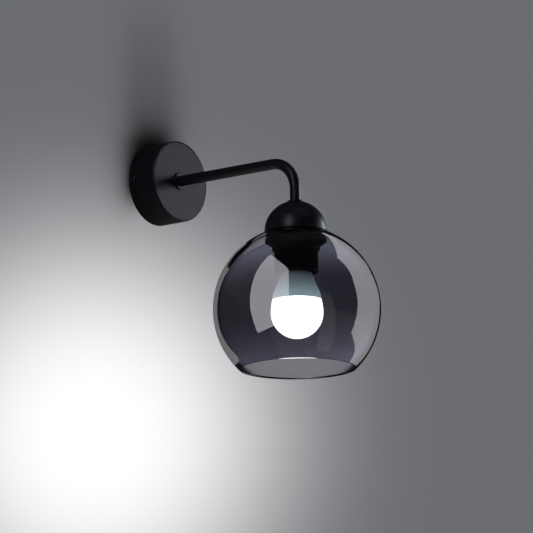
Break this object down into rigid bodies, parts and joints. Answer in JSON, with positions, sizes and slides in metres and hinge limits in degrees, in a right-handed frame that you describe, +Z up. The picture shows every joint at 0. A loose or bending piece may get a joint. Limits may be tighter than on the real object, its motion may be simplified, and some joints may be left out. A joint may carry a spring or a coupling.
{
  "type": "globe wall sconce",
  "caption": "Black wall sconce with a round canopy, a bent tube arm, a small dome cap and an open smoked-glass globe around a ball bulb.",
  "frame": {"origin": "centre of the wall bracket's back face, on the wall", "axes": "+Z up, +Y into the wall, so the lamp stands out along -Y; +X to the right seen from the room"},
  "size_m": [0.15, 0.24, 0.2259],
  "materials": {
    "black_paint": "satin black powder coat",
    "black_screw": "blackened steel",
    "zinc_steel": "zinc-plated steel",
    "plain_brass": "bare brass",
    "plated_shell": "nickel-plated brass",
    "plated_cap": "nickel-plated screw cap",
    "tinned_contact": "tinned contact",
    "black_plastic": "black moulded plastic, low sheen",
    "holder_core": "ivory heat-resistant moulding",
    "clear_block": "white connector plastic",
    "brown_sleeve": "brown lead insulation",
    "blue_sleeve": "blue lead insulation",
    "green_sleeve": "green and yellow lead insulation",
    "smoked_glass": "smoke-tinted clear glass, polished",
    "bulb_housing": "smooth pale plastic",
    "bulb_insulator": "black insulating disc",
    "circuit_board": "green circuit board",
    "led_board": "white-coated aluminium board",
    "led_chip": "light-emitting chips",
    "bulb_diffuser": "opal diffuser, lit"
  },
  "bodies": {
    "wall_plate": {"wall_bracket": "zinc_steel", "bracket_earth_washer": "zinc_steel", "bracket_earth_screw": "zinc_steel"},
    "fixture": {"canopy_cover": "black_paint", "side_screws": "black_screw", "arm_collar": "black_paint", "arm_tube": "black_paint", "arm_tooth_washer": "zinc_steel", "earth_lug": "plain_brass", "arm_lock_nut": "zinc_steel", "terminal_block": "clear_block", "terminal_clamps": "plain_brass", "terminal_screws": "zinc_steel", "live_wire": "brown_sleeve", "neutral_wire": "blue_sleeve", "earth_wire": "green_sleeve", "dome_washer": "black_paint", "dome_cap": "black_paint", "dome_nut": "zinc_steel", "holder_cap": "black_plastic", "holder_insert": "holder_core", "holder_terminals": "plain_brass", "holder_terminal_screws": "zinc_steel", "centre_contact": "plain_brass", "holder_shell": "plated_shell", "holder_skirt": "black_plastic"},
    "shade": {"glass_shade": "smoked_glass"},
    "ring": {"shade_ring": "black_plastic"},
    "bulb_tip": {"bulb_contact": "tinned_contact"},
    "bulb": {"bulb_insulator": "bulb_insulator", "bulb_cap": "plated_cap", "bulb_housing": "bulb_housing", "driver_board": "circuit_board", "led_board": "led_board", "led_chips": "led_chip", "bulb_diffuser": "bulb_diffuser"}
  },
  "joints": [
    {"name": "canopy_pull", "type": "slide", "parent": "wall_plate", "child": "fixture", "axis": [0, -1, 0], "range_m": [0, 0.03]},
    {"name": "shade_drop", "type": "slide", "parent": "fixture", "child": "shade", "axis": [0, 0, -1], "range_m": [0, 0.0265]},
    {"name": "ring_turn", "type": "hinge", "parent": "shade", "child": "ring", "pos_m": [0, -0.165, -0.075], "axis": [0, 0, -1], "range_deg": [0, 3817]},
    {"name": "bulb_travel", "type": "slide", "parent": "fixture", "child": "bulb_tip", "axis": [0, 0, -1], "range_m": [0, 0.01455]},
    {"name": "bulb_turn", "type": "hinge", "parent": "bulb_tip", "child": "bulb", "pos_m": [0, -0.165, -0.14], "axis": [0, 0, -1], "range_deg": [0, 1440]}
  ],
  "couplings": [
    {"joint": "ring_turn", "follows": "shade_drop", "rad_per_m": 2513.3},
    {"joint": "bulb_travel", "follows": "bulb_turn", "m_per_rad": 0.00057757}
  ]
}
